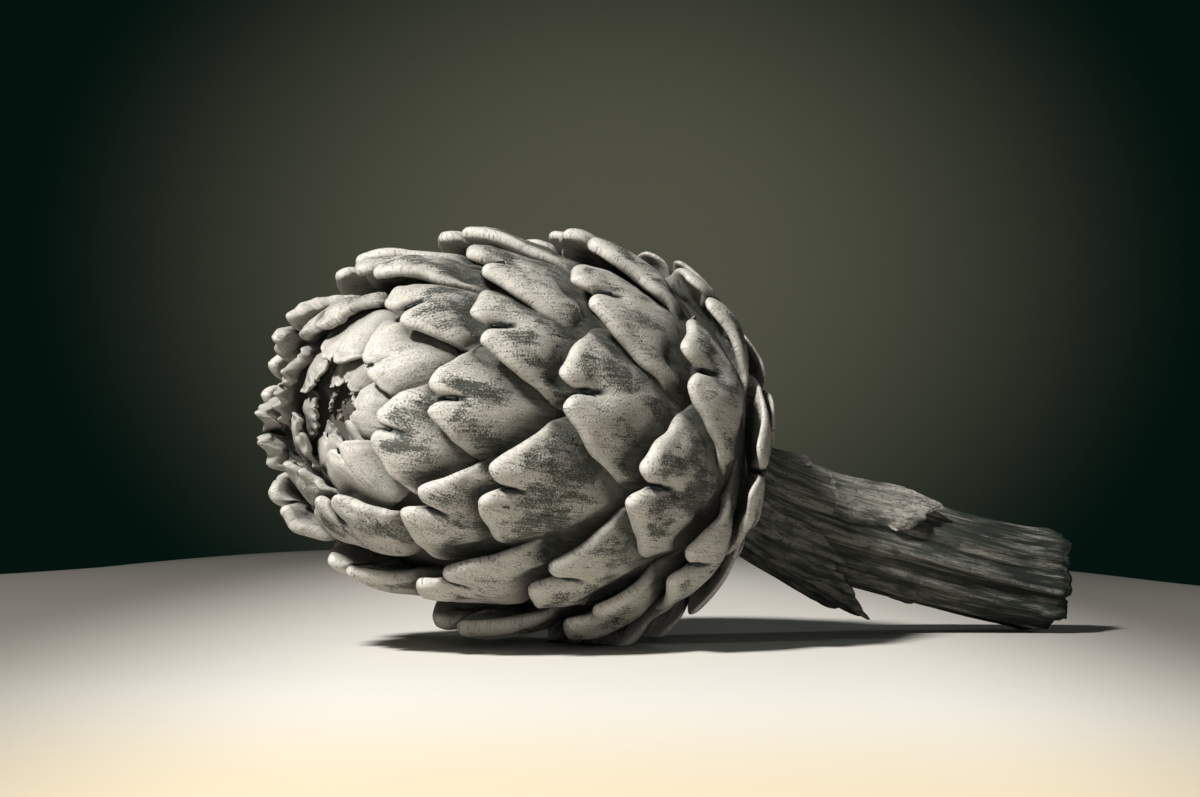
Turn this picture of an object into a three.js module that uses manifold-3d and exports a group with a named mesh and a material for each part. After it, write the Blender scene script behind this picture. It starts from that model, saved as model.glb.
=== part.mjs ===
// A globe artichoke lying on its side on a flat surface, cut from the plant with a length of stem.
// Millimetres, +Z up. The origin is on the surface, under the middle of the whole vegetable.
// The bud's axis runs from the stem to the closed tip and lies almost level.
// The bud is one node: a smaller core with every bract fused to it. The stem is the other node.

import * as THREE from 'three';
import { mergeVertices } from 'three/addons/utils/BufferGeometryUtils.js';
import Module from 'manifold-3d';

const wasm = await Module();
wasm.setup();

// Driving dimensions of the bud
const budLength = 125;
const widestRadius = 50;
const widestAt = 48;
const collarRadius = 12;
const crownDip = 5;
const crownDipRadius = 13;
const budTurn = 47;
const budRise = 5;
const axisHeight = 44.4;
const settleHeight = 6;
const settleShare = 0.38;

// Driving dimensions of the bracts
const bractSeed = 20613;
const lastBasalBract = -38;
const lastInnerBract = 46;
const divergence = 137.92;
const firstAzimuth = 80.8;
const rowRise = 2.9;
const crowding = 8;
const crownStart = 22;
const basalStart = -16;
const basalPacking = 0.02;
const fullSizeSpacing = 27.1;
const basalNarrowing = 0.012;
const smallestScale = 0.16;
const largestScale = 1.1;
const bractReach = 24;
const bractHalfWidth = 21;
const bractBack = 27;
const bractPoint = 1.25;
const notchDepth = 8;
const notchHalfAngle = 5;
const bractCrown = 0.8;
const bractCrownReach = 10;
const bractSlope = 0.2;
const bractEdgeFall = 1.5;
const bractTipFall = 0.6;
const bractTipLength = 6;
const bractRoot = 8;
const coreInset = 5.5;
const azimuthSpread = 3;
const tiltSpread = 5;
const liftSpread = 0.6;

// Bracts that stand out of their even place: degrees round the bud and millimetres towards its tip
const strayBracts = new Map([
  [-13, [-3, 1]],
  [-11, [-6, -1]],
  [-5, [-3, 1]],
  [-3, [4, -3]],
  [2, [-7, 5]],
  [3, [4, 1]],
  [5, [3, 2]],
  [8, [0, -2]],
  [10, [-10, 3]],
  [13, [-3, 0]],
  [15, [1, 4]],
  [16, [4, -4]],
  [18, [-14, 2]],
  [21, [-6, -1]],
]);

// Driving dimensions of the stem
const stemRadius = 12.6;
const neckRadius = 10;
const neckLength = 26;
const stemRibs = 11;
const ribHeight = 0.7;
const cutSpread = 0.8;
const cutSpreadLength = 14;
const stemGap = 0.3;
const stemEntry = 4;
const stemCourse = [
  [0, 0, -1.5],
  [7, 6, -5.5],
  [18.5, 12, -11.5],
  [53, 31, -22],
  [77, 42, -28],
  [97, 49, -31.6],
];

// Leaf stubs on the stem: distances from the bud, angle round the stem from its top in radians
const stubThickness = 1.6;
const stubRoot = 3;
const leafStubs = [
  { from: 38, to: 64, angle: 0.75, halfWidth: 9, taper: 0.35, lift: 3.4 },
  { from: 8, to: 33, angle: 2.4, halfWidth: 9, taper: 0.55, lift: 2.8 },
  { from: 22, to: 45, angle: 2.95, halfWidth: 5, taper: 0.5, lift: 5.5 },
  { from: 14, to: 33, angle: -0.15, halfWidth: 8, taper: 0.4, lift: 1.2 },
  { from: 55, to: 82, angle: -2.1, halfWidth: 9, taper: 0.4, lift: 2.6 },
];

// Seeded draw, so that the small differences between bracts are the same on every run
function seededRandom(seed) {
  let state = seed;
  return () => {
    state = (state * 16807) % 2147483647;
    return (state - 1) / 2147483646;
  };
}

const degrees = Math.PI / 180;

// The bud's own frame: axis from stem to tip, top across it and side towards the viewer's side
const budAxis = new THREE.Vector3(
  -Math.cos(budRise * degrees) * Math.cos(budTurn * degrees),
  -Math.cos(budRise * degrees) * Math.sin(budTurn * degrees),
  Math.sin(budRise * degrees),
);
const budTop = new THREE.Vector3(0, 0, 1).addScaledVector(budAxis, -budAxis.z).normalize();
const budSide = new THREE.Vector3().crossVectors(budTop, budAxis);
const budBase = new THREE.Vector3(0, 0, axisHeight);

// Radius of the bud at a distance from the stem: a flared shoulder, then a blunt dome
function budRadius(along) {
  if (along < widestAt) {
    const t = 1 - along / widestAt;
    return collarRadius + (widestRadius - collarRadius) * (1 - t ** 3.2) ** 1.3;
  }
  const t = Math.min(1, (along - widestAt) / (budLength - widestAt));
  return widestRadius * (1 - t ** 1.4) ** 0.25;
}

// The bud's outline from the tip back to the stem, stepped finely, with its length measured along it
function traceProfile() {
  const points = [];
  const crownSteps = 160;
  const shoulderSteps = 80;
  for (let i = 0; i <= crownSteps; i += 1) {
    const t = 1 - (i / crownSteps) ** 4;
    const along = widestAt + (budLength - widestAt) * t;
    const radius = budRadius(along);
    const inDip = Math.max(0, 1 - (radius / crownDipRadius) ** 2);
    points.push({ along: along - crownDip * inDip ** 2, radius });
  }
  for (let i = 1; i <= shoulderSteps; i += 1) {
    const along = widestAt * (1 - i / shoulderSteps);
    points.push({ along, radius: budRadius(along) });
  }
  points[0].reach = 0;
  for (let i = 1; i < points.length; i += 1) {
    const rise = points[i].along - points[i - 1].along;
    const spread = points[i].radius - points[i - 1].radius;
    points[i].reach = points[i - 1].reach + Math.hypot(rise, spread);
  }
  return points;
}

const profile = traceProfile();
const profileLength = profile[profile.length - 1].reach;

// Place on the outline at a length measured from the tip
function profileAt(reach) {
  const target = THREE.MathUtils.clamp(reach, 0, profileLength);
  let low = 0;
  let high = profile.length - 1;
  while (high - low > 1) {
    const middle = (low + high) >> 1;
    if (profile[middle].reach <= target) low = middle;
    else high = middle;
  }
  const share = (target - profile[low].reach) / (profile[high].reach - profile[low].reach);
  const along = THREE.MathUtils.lerp(profile[low].along, profile[high].along, share);
  const radius = THREE.MathUtils.lerp(profile[low].radius, profile[high].radius, share);
  return { along, radius };
}

// Outward normal of the outline, taken over a short stretch so that it turns smoothly
function profileNormal(reach) {
  const window = 2.5;
  const ahead = profileAt(reach - window);
  const behind = profileAt(reach + window);
  const rise = ahead.along - behind.along;
  const spread = ahead.radius - behind.radius;
  const length = Math.hypot(rise, spread);
  return { along: -spread / length, radius: rise / length };
}

function budPoint(along, radius, azimuth) {
  return new THREE.Vector3()
    .copy(budBase)
    .addScaledVector(budAxis, along)
    .addScaledVector(budTop, radius * Math.cos(azimuth))
    .addScaledVector(budSide, radius * Math.sin(azimuth));
}

// The bracts underneath give a little under the weight, so that the bud lies on a broader spot
function settle(point) {
  point.z -= settleShare * Math.max(0, settleHeight - point.z);
  return point;
}

// Distance of a bract's notch from the tip of the bud: even rows on the flank, crowded at the crown
function bractReachFromTip(index) {
  const even = rowRise * crowding * Math.log(1 + Math.exp((crownStart - index) / crowding));
  const basal = Math.max(0, basalStart - index);
  return even - basalPacking * basal ** 2;
}

// Size of a bract against the largest ones, from the room that its row leaves it
function bractScale(index) {
  const reach = bractReachFromTip(index);
  const pace = bractReachFromTip(index - 0.5) - bractReachFromTip(index + 0.5);
  const room = Math.sqrt(2 * Math.PI * Math.max(profileAt(reach).radius, 1.5) * pace);
  const basalTaper = 1 - basalNarrowing * Math.max(0, -8 - index);
  return THREE.MathUtils.clamp((room / fullSizeSpacing) * basalTaper, smallestScale, largestScale);
}

// Edge of a bract as a distance from its middle: a blunt point parted into two lobes by a notch
function bractEdge(angle) {
  const forward = Math.cos(angle);
  const across = Math.abs(Math.sin(angle));
  if (forward < 0) {
    return 1 / Math.hypot(forward / bractBack, across / bractHalfWidth);
  }
  const share = (forward / bractReach) ** bractPoint + (across / bractHalfWidth) ** bractPoint;
  const notch = notchDepth * Math.exp(-((Math.abs(angle) / (notchHalfAngle * degrees)) ** 1.5));
  return share ** (-1 / bractPoint) - notch;
}

// Height of a bract's face above the bud's outline, at a place forward and across from its middle
function bractHeight(forward, across) {
  const behindTip = bractReach - forward;
  const slope = Math.max(0, behindTip - bractCrownReach) * bractSlope;
  const edgeFall = bractEdgeFall * (across / bractHalfWidth) ** 2;
  const tipFall = bractTipFall * Math.max(0, 1 - behindTip / bractTipLength);
  return bractCrown - slope - edgeFall - tipFall;
}

// One bract as a closed wedge: a rounded face, an edge wall, and a root sunk in the core
function bractGeometry(index, random) {
  const scale = bractScale(index);
  const drift = (random() - 0.5) * azimuthSpread;
  const tilt = (random() - 0.5) * tiltSpread * degrees;
  const lift = (random() - 0.5) * liftSpread;
  const [turned, advanced] = strayBracts.get(index) ?? [drift, 0];
  const azimuth = (firstAzimuth - index * divergence + turned) * degrees;
  const notchReach = bractReachFromTip(index) - advanced;
  const middle = notchReach + (bractReach - notchDepth) * scale;
  const edgeAngles = scale > 0.5
    ? [0, 5, 11, 25, 50, 92, 180]
    : [0, 9, 30, 75, 180];
  const rings = scale > 0.5 ? [1, 0.6] : [1];
  const angles = [...edgeAngles.slice(1, -1).map((a) => -a).reverse(), ...edgeAngles];
  const count = angles.length;
  const thickness = scale ** 0.7;

  function place(forward, across, height) {
    const turnedForward = forward * Math.cos(tilt) - across * Math.sin(tilt);
    const turnedAcross = forward * Math.sin(tilt) + across * Math.cos(tilt);
    const reach = THREE.MathUtils.clamp(middle - turnedForward * scale, 0.2, profileLength - 1);
    const spot = profileAt(reach);
    const normal = profileNormal(reach);
    const crossRadius = THREE.MathUtils.clamp(spot.radius / Math.max(normal.radius, 0.05), 10, 70);
    const bend = (turnedAcross * scale) / crossRadius;
    const raised = height * thickness + lift;
    const outward = (crossRadius + raised) * Math.cos(bend) - crossRadius;
    const point = budPoint(
      spot.along + outward * normal.along,
      spot.radius + outward * normal.radius,
      azimuth,
    );
    const sideways = new THREE.Vector3()
      .addScaledVector(budTop, -Math.sin(azimuth))
      .addScaledVector(budSide, Math.cos(azimuth));
    point.addScaledVector(sideways, (crossRadius + raised) * Math.sin(bend));
    return settle(point);
  }

  const positions = [];
  const add = (forward, across, height) => {
    positions.push(...place(forward, across, height).toArray());
  };
  for (const share of rings) {
    for (const degree of angles) {
      const angle = degree * degrees;
      const edge = bractEdge(angle) * share;
      const forward = edge * Math.cos(angle);
      const across = edge * Math.sin(angle);
      add(forward, across, bractHeight(forward, across));
    }
  }
  add(0, 0, bractHeight(0, 0));
  const faceCentre = rings.length * count;
  for (const degree of angles) {
    const angle = degree * degrees;
    const edge = bractEdge(angle) * 0.97;
    const forward = edge * Math.cos(angle);
    const across = edge * Math.sin(angle);
    add(forward, across, bractHeight(forward, across) - bractRoot * 0.7);
  }
  add(0, 0, bractHeight(0, 0) - bractRoot);
  const rootRing = faceCentre + 1;
  const rootCentre = rootRing + count;

  const faces = [];
  for (let i = 0; i < count; i += 1) {
    const next = (i + 1) % count;
    for (let ring = 0; ring + 1 < rings.length; ring += 1) {
      const outer = ring * count;
      const inner = outer + count;
      faces.push(outer + i, outer + next, inner + next, outer + i, inner + next, inner + i);
    }
    const lastRing = (rings.length - 1) * count;
    faces.push(lastRing + i, lastRing + next, faceCentre);
    faces.push(rootRing + i, rootRing + next, next, rootRing + i, next, i);
    faces.push(rootRing + next, rootRing + i, rootCentre);
  }
  return closedGeometry(positions, faces);
}

function closedGeometry(positions, faces) {
  const geometry = new THREE.BufferGeometry();
  geometry.setAttribute('position', new THREE.Float32BufferAttribute(positions, 3));
  geometry.setIndex(faces);
  return geometry;
}

// The core inside the bracts, turned on the bud's axis
function coreGeometry() {
  const stations = 12;
  const sides = 24;
  const outline = [];
  for (let i = 0; i <= stations; i += 1) {
    const reach = (profileLength * i) / stations;
    const spot = profileAt(reach);
    const normal = profileNormal(reach);
    const inset = Math.min(coreInset, spot.radius * 0.5 + 2);
    const radius = Math.max(0, spot.radius - inset * normal.radius);
    outline.push(new THREE.Vector2(i === 0 ? 0 : radius, spot.along - inset * Math.max(normal.along, 0)));
  }
  outline.push(new THREE.Vector2(0, outline[stations].y));
  const core = new THREE.LatheGeometry(outline.reverse(), sides);
  const frame = new THREE.Matrix4().makeBasis(budTop, budAxis, budSide);
  frame.setPosition(budBase);
  return core.applyMatrix4(frame);
}

// Joining and cutting
function solidFrom(geometry) {
  const bare = geometry.clone();
  bare.deleteAttribute('normal');
  bare.deleteAttribute('uv');
  const merged = mergeVertices(bare, 1e-4);
  const mesh = new wasm.Mesh({
    numProp: 3,
    vertProperties: new Float32Array(merged.attributes.position.array),
    triVerts: new Uint32Array(merged.index.array),
  });
  return new wasm.Manifold(mesh);
}

// The solid's outer skin alone: hollows that the joining sealed are filled and loose scraps dropped
function outerSkin(solid) {
  const mesh = solid.getMesh();
  const parent = Array.from({ length: mesh.vertProperties.length / 3 }, (_, i) => i);
  const rootOf = (i) => {
    let root = i;
    while (parent[root] !== root) {
      parent[root] = parent[parent[root]];
      root = parent[root];
    }
    return root;
  };
  for (let i = 0; i < mesh.triVerts.length; i += 3) {
    parent[rootOf(mesh.triVerts[i])] = rootOf(mesh.triVerts[i + 1]);
    parent[rootOf(mesh.triVerts[i + 1])] = rootOf(mesh.triVerts[i + 2]);
  }
  const shells = new Map();
  for (let i = 0; i < mesh.triVerts.length; i += 3) {
    const root = rootOf(mesh.triVerts[i]);
    if (!shells.has(root)) shells.set(root, []);
    shells.get(root).push(...mesh.triVerts.slice(i, i + 3));
  }
  const faces = [...shells.values()].reduce((a, b) => (b.length > a.length ? b : a));
  return closedGeometry(Array.from(mesh.vertProperties), faces);
}

// Everything below the surface that the artichoke lies on
function belowSurface() {
  const size = 600;
  const slab = new THREE.BoxGeometry(size, size, size);
  slab.translate(0, 0, -size / 2);
  return solidFrom(slab);
}

// The stem's centre line from the bud: it bends down to the surface and then runs nearly straight
const stemLine = new THREE.CatmullRomCurve3(
  stemCourse.map((place) => new THREE.Vector3(...place).add(budBase)),
);
const stemEnd = stemLine.getPointAt(1);
const stemLength = stemLine.getLength();

// Place on the stem at a distance from the bud, a height off its skin and an angle round it from the top
function stemPoint(distance, angle, height, widen) {
  const share = THREE.MathUtils.clamp(distance / stemLength, 0, 1);
  const heading = stemLine.getTangentAt(share);
  const centre = stemLine.getPointAt(share).addScaledVector(heading, Math.min(0, distance));
  const side = heading.clone().cross(new THREE.Vector3(0, 0, 1)).normalize();
  const top = new THREE.Vector3().crossVectors(side, heading);
  const radius = stemSkin(distance, angle) + height + widen;
  return centre
    .addScaledVector(top, radius * Math.cos(angle))
    .addScaledVector(side, radius * Math.sin(angle));
}

// Radius of the stem's skin: thin at the neck, full behind it, spread a little at the cut, and ribbed
function stemSkin(distance, angle) {
  const neck = THREE.MathUtils.smoothstep(distance, 0, neckLength);
  const cut = THREE.MathUtils.smoothstep(distance, stemLength - cutSpreadLength, stemLength);
  const ribs = ribHeight * neck * Math.cos(stemRibs * angle);
  return neckRadius + (stemRadius - neckRadius) * neck + cutSpread * cut + ribs;
}

function stemGeometry(start, widen) {
  const stations = 14;
  const sides = stemRibs * 2;
  const positions = [];
  for (let i = 0; i <= stations; i += 1) {
    const distance = start + ((stemLength - start) * i) / stations;
    for (let j = 0; j < sides; j += 1) {
      positions.push(...stemPoint(distance, (2 * Math.PI * j) / sides, 0, widen).toArray());
    }
  }
  const faces = [];
  for (let i = 0; i < stations; i += 1) {
    for (let j = 0; j < sides; j += 1) {
      const here = i * sides + j;
      const beside = i * sides + ((j + 1) % sides);
      faces.push(here, beside, beside + sides, here, beside + sides, here + sides);
    }
  }
  const first = positions.length / 3;
  positions.push(...stemPoint(start, 0, -stemSkin(start, 0), 0).toArray());
  positions.push(...stemEnd.toArray());
  for (let j = 0; j < sides; j += 1) {
    const next = (j + 1) % sides;
    faces.push(first, next, j);
    faces.push(first + 1, stations * sides + j, stations * sides + next);
  }
  return closedGeometry(positions, faces);
}

// What is left of a leaf on the stem: a tongue that rises from the skin and ends free
function leafStubGeometry({ from, to, angle, halfWidth, taper, lift }) {
  const rows = 5;
  const columns = 4;
  const positions = [];
  for (const layer of [0, 1]) {
    for (let i = 0; i <= rows; i += 1) {
      const t = i / rows;
      const distance = from + (to - from) * t;
      const half = halfWidth * (1 - taper * t ** 2);
      const face = 0.4 + lift * t ** 1.6;
      for (let j = 0; j <= columns; j += 1) {
        const across = (2 * j) / columns - 1;
        const crown = 0.8 * (1 - across ** 2);
        const height = layer === 0 ? face + crown : Math.min(face - stubThickness, -stubRoot);
        const skin = stemSkin(distance, angle);
        const turn = angle + (half * across * (layer === 0 ? 1 : 0.8)) / skin;
        positions.push(...stemPoint(distance, turn, height, 0).toArray());
      }
    }
  }
  const width = columns + 1;
  const layerSize = (rows + 1) * width;
  const faces = [];
  for (let i = 0; i < rows; i += 1) {
    for (let j = 0; j < columns; j += 1) {
      const a = i * width + j;
      faces.push(a, a + 1, a + width + 1, a, a + width + 1, a + width);
      const b = a + layerSize;
      faces.push(b, b + width + 1, b + 1, b, b + width, b + width + 1);
    }
    for (const j of [0, columns]) {
      const a = i * width + j;
      const b = a + layerSize;
      if (j === 0) faces.push(a, a + width, b + width, a, b + width, b);
      else faces.push(a, b + width, a + width, a, b, b + width);
    }
  }
  for (let j = 0; j < columns; j += 1) {
    const near = j;
    const far = rows * width + j;
    faces.push(near, near + layerSize, near + layerSize + 1, near, near + layerSize + 1, near + 1);
    faces.push(far, far + 1, far + 1 + layerSize, far, far + 1 + layerSize, far + layerSize);
  }
  return closedGeometry(positions, faces);
}

function buildHead() {
  const random = seededRandom(bractSeed);
  const solids = [solidFrom(coreGeometry())];
  for (let index = lastBasalBract; index <= lastInnerBract; index += 1) {
    solids.push(solidFrom(bractGeometry(index, random)));
  }
  const socket = solidFrom(stemGeometry(-stemEntry - stemGap, stemGap));
  const whole = wasm.Manifold.union(solids).subtract(socket).subtract(belowSurface());
  const material = new THREE.MeshStandardMaterial({ color: 0xa39b90, roughness: 0.62, metalness: 0 });
  const mesh = new THREE.Mesh(outerSkin(whole), material);
  mesh.name = 'head';
  return mesh;
}

function buildStem() {
  const solids = [solidFrom(stemGeometry(-stemEntry, 0))];
  for (const stub of leafStubs) {
    solids.push(solidFrom(leafStubGeometry(stub)));
  }
  const whole = wasm.Manifold.union(solids).subtract(belowSurface());
  const material = new THREE.MeshStandardMaterial({ color: 0x7f776c, roughness: 0.8, metalness: 0 });
  const mesh = new THREE.Mesh(outerSkin(whole), material);
  mesh.name = 'stem';
  return mesh;
}

const artichoke = new THREE.Group();
artichoke.add(buildHead(), buildStem());

// The origin goes on the surface under the middle of the whole vegetable
const extent = new THREE.Box3().setFromObject(artichoke, true);
const middleOfAll = extent.getCenter(new THREE.Vector3());
artichoke.position.set(-middleOfAll.x, -middleOfAll.y, 0);
artichoke.updateMatrixWorld(true);

export default artichoke;
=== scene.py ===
import math

import bpy
import numpy as np
from mathutils import Matrix, Vector


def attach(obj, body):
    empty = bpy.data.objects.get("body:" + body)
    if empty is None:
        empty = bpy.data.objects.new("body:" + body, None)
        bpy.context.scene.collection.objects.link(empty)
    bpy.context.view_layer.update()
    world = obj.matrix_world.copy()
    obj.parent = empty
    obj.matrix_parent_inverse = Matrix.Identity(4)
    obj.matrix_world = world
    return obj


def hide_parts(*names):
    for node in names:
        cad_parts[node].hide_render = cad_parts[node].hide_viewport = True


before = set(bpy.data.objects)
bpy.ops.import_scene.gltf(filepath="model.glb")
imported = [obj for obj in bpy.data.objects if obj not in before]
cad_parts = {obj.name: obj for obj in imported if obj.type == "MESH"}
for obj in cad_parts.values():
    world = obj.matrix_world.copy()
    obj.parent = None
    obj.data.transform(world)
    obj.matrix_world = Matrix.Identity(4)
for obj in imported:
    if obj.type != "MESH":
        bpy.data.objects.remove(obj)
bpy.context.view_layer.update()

# Camera: low beside the table, a long lens levelled on the bud, as the photograph was taken.
# Its place is in metres in the part's frame; the photograph is 1200 pixels wide.
camera_place = Vector((-0.0247, -0.7161, 0.0486))
camera_rise = math.radians(0.8)
camera_roll = math.radians(1.0)
photo_width_px = 1200
focal_length_px = 2961
sensor_width_mm = 36

ahead = Vector((0, math.cos(camera_rise), math.sin(camera_rise)))
level_up = Vector((0, -math.sin(camera_rise), math.cos(camera_rise)))
camera_right = Vector((1, 0, 0)) * math.cos(camera_roll) + level_up * math.sin(camera_roll)
camera_up = level_up * math.cos(camera_roll) - Vector((1, 0, 0)) * math.sin(camera_roll)
camera = bpy.data.objects.new("camera", bpy.data.cameras.new("camera"))
camera.data.sensor_width = sensor_width_mm
camera.data.lens = sensor_width_mm * focal_length_px / photo_width_px
camera.data.clip_start = 0.01
camera.data.clip_end = 20
camera_turn = Matrix((camera_right, camera_up, -ahead)).transposed()
camera.matrix_world = Matrix.Translation(camera_place) @ camera_turn.to_4x4()
bpy.context.collection.objects.link(camera)
bpy.context.scene.camera = camera


# Bud core: the fleshy base that the bracts grow from.
# Its near-black colour is painted shade, for it only shows as darkness between bracts. It grew as one
# body, a blunt dome on the stem.
mm = 0.001
bud_length = 125
widest_radius = 50
widest_at = 48
collar_radius = 12
crown_dip = 5
crown_dip_radius = 13
bud_turn = math.radians(47)
bud_rise = math.radians(5)
bud_base = np.array((-0.05, 22.25, 44.4))
core_inset = 10
collar_inset = 7
inset_changes_before_stem = np.array([70, 35])
settle_height = 6
settle_share = 0.38
crown_steps = 160
shoulder_steps = 80

bud_axis = np.array(
    (
        -math.cos(bud_rise) * math.cos(bud_turn),
        -math.cos(bud_rise) * math.sin(bud_turn),
        math.sin(bud_rise),
    )
)
bud_top = np.array((0, 0, 1)) - bud_axis * bud_axis[2]
bud_top /= np.linalg.norm(bud_top)
bud_side = np.cross(bud_top, bud_axis)


def trace_outline():
    """The bud's outline from its tip back to the stem, and its length measured from the tip."""
    crown = 1 - (np.arange(crown_steps + 1) / crown_steps) ** 4
    crown_radius = widest_radius * np.maximum(1 - crown**1.4, 0) ** 0.25
    dip = np.maximum(0, 1 - (crown_radius / crown_dip_radius) ** 2)
    crown_along = widest_at + (bud_length - widest_at) * crown - crown_dip * dip**2
    back = np.arange(1, shoulder_steps + 1) / shoulder_steps
    shoulder = (1 - back**3.2) ** 1.3
    along = np.concatenate([crown_along, widest_at * (1 - back)])
    radius = np.concatenate(
        [crown_radius, collar_radius + (widest_radius - collar_radius) * shoulder]
    )
    steps = np.hypot(np.diff(along), np.diff(radius))
    return np.concatenate([[0], np.cumsum(steps)]), along, radius


outline_reach, outline_along, outline_radius = trace_outline()
outline_length = outline_reach[-1]


def on_outline(reach):
    along = np.interp(reach, outline_reach, outline_along)
    return along, np.interp(reach, outline_reach, outline_radius)


def outline_normal(reach):
    window = 2.5
    along_tip, radius_tip = on_outline(reach - window)
    along_stem, radius_stem = on_outline(reach + window)
    rise = along_tip - along_stem
    spread = radius_tip - radius_stem
    length = np.hypot(rise, spread)
    return -spread / length, rise / length


def on_bud(along, radius, azimuth):
    return (
        bud_base
        + along[:, None] * bud_axis
        + (radius * np.cos(azimuth))[:, None] * bud_top
        + (radius * np.sin(azimuth))[:, None] * bud_side
    )


def settled(points):
    """Underneath, the bud gives a little under its weight and lies flat on the surface."""
    low = np.maximum(0, settle_height - points[:, 2])
    points[:, 2] = np.maximum(points[:, 2] - settle_share * low, 0)
    return points


def mesh_piece(name, points, faces, values, material):
    """A smooth mesh from points in millimetres, with named values at its points for the material."""
    mesh = bpy.data.meshes.new(name)
    mesh.from_pydata((points * mm).tolist(), [], faces)
    for label, data in values.items():
        kind = "FLOAT_VECTOR" if data.ndim == 2 else "FLOAT"
        field = "vector" if data.ndim == 2 else "value"
        layer = mesh.attributes.new(label, kind, "POINT")
        layer.data.foreach_set(field, data.astype(np.float32).ravel())
    mesh.shade_smooth()
    mesh.materials.append(material)
    piece = bpy.data.objects.new(name, mesh)
    bpy.context.collection.objects.link(piece)
    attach(piece, "root")
    return piece


def ring_faces(rings, count, start=0):
    """Quads between rings of points, each ring closed on itself, facing outwards for rings going in."""
    faces = []
    for ring in range(rings - 1):
        outer = start + ring * count
        for i in range(count):
            j = (i + 1) % count
            faces.append((outer + i, outer + j, outer + count + j, outer + count + i))
    return faces


def plain_material(name, colour, roughness):
    material = bpy.data.materials.new(name)
    material.use_nodes = True
    shader = material.node_tree.nodes["Principled BSDF"]
    shader.inputs["Base Color"].default_value = (*colour, 1)
    shader.inputs["Roughness"].default_value = roughness
    return material


core_sides = 96
core_rings = 80
core_reach = np.linspace(0, outline_length, core_rings)
core_along, core_radius = on_outline(core_reach)
core_normal_along, core_normal_radius = outline_normal(core_reach)
core_depth = np.interp(
    core_reach, outline_length - inset_changes_before_stem, [core_inset, collar_inset]
)
core_depth = np.minimum(core_depth, core_radius * 0.5 + 2)
near_stem = np.where(core_normal_along < 0, np.clip(core_radius / 15 - 0.6, 0, 1), 1)
core_along = core_along - core_depth * core_normal_along * near_stem
core_radius = np.maximum(core_radius - core_depth * core_normal_radius, 0.01)
core_azimuth = np.linspace(0, 2 * math.pi, core_sides, endpoint=False)
core_points = settled(
    on_bud(
        np.repeat(core_along, core_sides),
        np.repeat(core_radius, core_sides),
        np.tile(core_azimuth, core_rings),
    )
)
core_faces = [tuple(reversed(f)) for f in ring_faces(core_rings, core_sides)]
core_faces.append(tuple(range(core_sides)))
core_faces.append(tuple(reversed(range(len(core_points) - core_sides, len(core_points)))))
# The core's near-black colour is painted shade between the bracts.
core_painted_shade = plain_material("core flesh in painted shade", (0.05, 0.045, 0.035), 0.8)
bud_core = mesh_piece("bud_core", core_points, core_faces, {}, core_painted_shade)
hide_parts("head")


# Bracts: thick leathery scales, each a blunt point parted into two plump lobes by a notch with a
# small dried spine in it. They grow in spirals at the golden angle, the outer ones over the inner,
# smallest at both ends. Their counts run up from the stem to the tip.
bract_seed = 20613
last_basal_bract = -38
last_inner_bract = 46
divergence = 137.92
first_azimuth = 80.8
row_rise = 2.9
crowding = 8
crown_start = 22
basal_start = -16
basal_packing = 0.02
full_size_spacing = 27.1
basal_narrowing = 0.012
bract_reach = 24
bract_half_width = 21
widest_behind = 8
shoulder_width = 26
bract_back = 27
bract_point = 1.25
notch_depth = 8
notch_cut = 4.2
notch_half_angle = math.radians(3.2)
lobe_forward = 16.3
lobe_across = 5.3
lobe_radius = 4.9
lobe_blend = 0.45
lobe_limit = math.radians(40)
inner_bluntness = 1.0
inner_widening = 0.22
bract_crown = 0.8
bract_crown_reach = 3
bract_hollow = 0.018
hollow_length = 11
root_slope = 0.2
crown_sinking = 2.5
groove_depth = 1.9
groove_reach = 2.4
shade_reach = 3.2
dry_tone_and_basal_shade_strength = 0.5
spine_sides = 8
spine_rings = 6
spine_radius = 0.8
spine_length = 3.6
spine_lift = 1.5
bract_edge_fall = 3.2
edge_thickness = 1.3
lobe_thickness = 1.2
thickening = 0.1
basal_relief = 0.55
basal_relief_span = (9, 26)
basal_broadening = 0.45
basal_broadening_span = (14, 30)
basal_overlap = 0.4
basal_overlap_span = (10, 28)
basal_shade_span = (16, 30)
drying_span = (5, 22)
inner_span = (13, 26)
sinking_span = (30, 40)
dried_thickening = 0.45
ruffle_height = 0.3
lip_height = 0.35
dried_lip_height = 1.1
lip_inset = 1.7
lip_width = 1.4
crease_depth = 1.8
swell_height = 0.4
buckle_height = 1.7
neighbour_reach = 45
neighbour_width = 36
neighbour_margin = 6
no_neighbour = 99.0
probe_count = 60
least_cross_radius = 10
most_cross_radius = 70
azimuth_spread = 3
tilt_spread = 5
lift_spread = 0.6
# Bracts moved from their even place: degrees round the bud and millimetres towards its tip.
# The numbers are a scratch program's fit of the spiral to the photograph's notches, in whole
# numbers. They are an open fault.
stray_bracts = {
    -13: (-3, 1), -11: (-6, -1), -5: (-3, 1), -3: (4, -3), 2: (-7, 5), 3: (4, 1), 5: (3, 2),
    8: (0, -2), 10: (-10, 3), 13: (-3, 0), 15: (1, 4), 16: (4, -4), 18: (-14, 2), 21: (-6, -1),
}


def seeded_random(seed):
    state = seed
    while True:
        state = (state * 16807) % 2147483647
        yield (state - 1) / 2147483646


def smooth_step(value, low, high):
    t = np.clip((value - low) / (high - low), 0, 1)
    return t * t * (3 - 2 * t)


def share_past(count, span):
    """How far a bract's count is through a span of counts, from 0 to 1."""
    return float(smooth_step(np.array(float(count)), *span))


def reach_from_tip(index):
    even = row_rise * crowding * math.log(1 + math.exp((crown_start - index) / crowding))
    return even - basal_packing * max(0, basal_start - index) ** 2


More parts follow.
